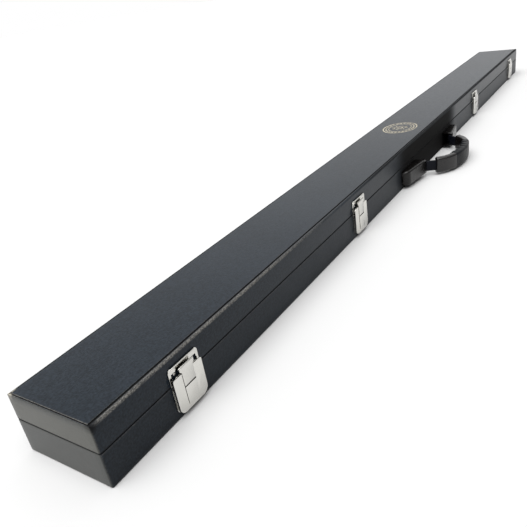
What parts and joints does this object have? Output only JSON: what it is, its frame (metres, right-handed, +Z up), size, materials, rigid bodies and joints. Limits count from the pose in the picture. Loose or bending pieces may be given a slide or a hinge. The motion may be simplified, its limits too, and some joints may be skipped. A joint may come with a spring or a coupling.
{
  "type": "cue case",
  "caption": "Long slim hard case for a two-piece cue, covered in black leatherette, with draw latches along the front, a strap handle and a hinged lid.",
  "frame": {"origin": "centre of the underside", "axes": "+X along the case, +Y towards the hinges, +Z up; the latches and the handle are on the -Y side"},
  "size_m": [1.22, 0.1327, 0.0475],
  "materials": {
    "leatherette": "fine-grained black leatherette, semi-matte",
    "board": "plain plywood",
    "lining": "flocked cloth",
    "foam": "cloth-covered foam",
    "chrome": "bright plated",
    "steel": "nickel-plated",
    "strap": "ribbed flexible strap",
    "handle": "moulded, satin"
  },
  "bodies": {
    "base": {"base_back_board": "board", "base_bottom_covering": "leatherette", "base_floor_board": "board", "base_floor_lining": "lining", "base_front_board": "board", "base_left_end_board": "board", "base_right_end_board": "board", "base_side_covering": "leatherette", "base_wall_lining": "lining", "butt_partition": "lining", "extension_partition": "lining", "handle_left_anchor": "steel", "handle_left_cap": "handle", "handle_right_anchor": "steel", "handle_right_cap": "handle", "handle_strap": "strap", "hinge_1_base_leaf": "steel", "hinge_1_pin": "steel", "hinge_2_base_leaf": "steel", "hinge_2_pin": "steel", "hinge_3_base_leaf": "steel", "hinge_3_pin": "steel", "lane_divider": "lining", "latch_1_base_plate": "chrome", "latch_1_pivot_pin": "chrome", "latch_2_base_plate": "chrome", "latch_2_pivot_pin": "chrome", "latch_3_base_plate": "chrome", "latch_3_pivot_pin": "chrome", "latch_4_base_plate": "chrome", "latch_4_pivot_pin": "chrome", "left_end_pad": "foam", "right_end_pad": "foam"},
    "lid": {"hinge_1_lid_leaf": "steel", "hinge_2_lid_leaf": "steel", "hinge_3_lid_leaf": "steel", "latch_1_strike_plate": "chrome", "latch_2_strike_plate": "chrome", "latch_3_strike_plate": "chrome", "latch_4_strike_plate": "chrome", "lid_back_board": "board", "lid_foam_pad": "foam", "lid_front_board": "board", "lid_left_end_board": "board", "lid_right_end_board": "board", "lid_side_covering": "leatherette", "lid_top_board": "board", "lid_top_covering": "leatherette", "lid_wall_lining": "lining"},
    "grip": {"handle_grip": "handle"},
    "latch_1_lever": {"latch_1_lever": "chrome"},
    "latch_1_hook": {"latch_1_hook_plate": "chrome"},
    "latch_2_lever": {"latch_2_lever": "chrome"},
    "latch_2_hook": {"latch_2_hook_plate": "chrome"},
    "latch_3_lever": {"latch_3_lever": "chrome"},
    "latch_3_hook": {"latch_3_hook_plate": "chrome"},
    "latch_4_lever": {"latch_4_lever": "chrome"},
    "latch_4_hook": {"latch_4_hook_plate": "chrome"}
  },
  "joints": [
    {"name": "lid_hinge", "type": "hinge", "parent": "base", "child": "lid", "pos_m": [0, 0.0414, 0.027], "axis": [-1, 0, 0], "range_deg": [0, 100]},
    {"name": "grip_press", "type": "slide", "parent": "base", "child": "grip", "axis": [0, 1, 0], "range_m": [0, 0.012], "stiffness_N_per_m": 900, "deforming": ["handle_strap"]},
    {"name": "latch_1_lever", "type": "hinge", "parent": "base", "child": "latch_1_lever", "pos_m": [-0.533, -0.04065, 0.032], "axis": [-1, 0, 0], "range_deg": [0, 95]},
    {"name": "latch_1_hook", "type": "hinge", "parent": "latch_1_lever", "child": "latch_1_hook", "pos_m": [-0.533, -0.0414, 0.02265], "axis": [-1, 0, 0], "range_deg": [-95, 0]},
    {"name": "latch_2_lever", "type": "hinge", "parent": "base", "child": "latch_2_lever", "pos_m": [-0.244, -0.04065, 0.032], "axis": [-1, 0, 0], "range_deg": [0, 95]},
    {"name": "latch_2_hook", "type": "hinge", "parent": "latch_2_lever", "child": "latch_2_hook", "pos_m": [-0.244, -0.0414, 0.02265], "axis": [-1, 0, 0], "range_deg": [-95, 0]},
    {"name": "latch_3_lever", "type": "hinge", "parent": "base", "child": "latch_3_lever", "pos_m": [0.244, -0.04065, 0.032], "axis": [-1, 0, 0], "range_deg": [0, 95]},
    {"name": "latch_3_hook", "type": "hinge", "parent": "latch_3_lever", "child": "latch_3_hook", "pos_m": [0.244, -0.0414, 0.02265], "axis": [-1, 0, 0], "range_deg": [-95, 0]},
    {"name": "latch_4_lever", "type": "hinge", "parent": "base", "child": "latch_4_lever", "pos_m": [0.533, -0.04065, 0.032], "axis": [-1, 0, 0], "range_deg": [0, 95]},
    {"name": "latch_4_hook", "type": "hinge", "parent": "latch_4_lever", "child": "latch_4_hook", "pos_m": [0.533, -0.0414, 0.02265], "axis": [-1, 0, 0], "range_deg": [-95, 0]}
  ],
  "couplings": [
    {"joint": "latch_1_hook", "follows": "latch_1_lever", "ratio": -1},
    {"joint": "latch_2_hook", "follows": "latch_2_lever", "ratio": -1},
    {"joint": "latch_3_hook", "follows": "latch_3_lever", "ratio": -1},
    {"joint": "latch_4_hook", "follows": "latch_4_lever", "ratio": -1}
  ]
}
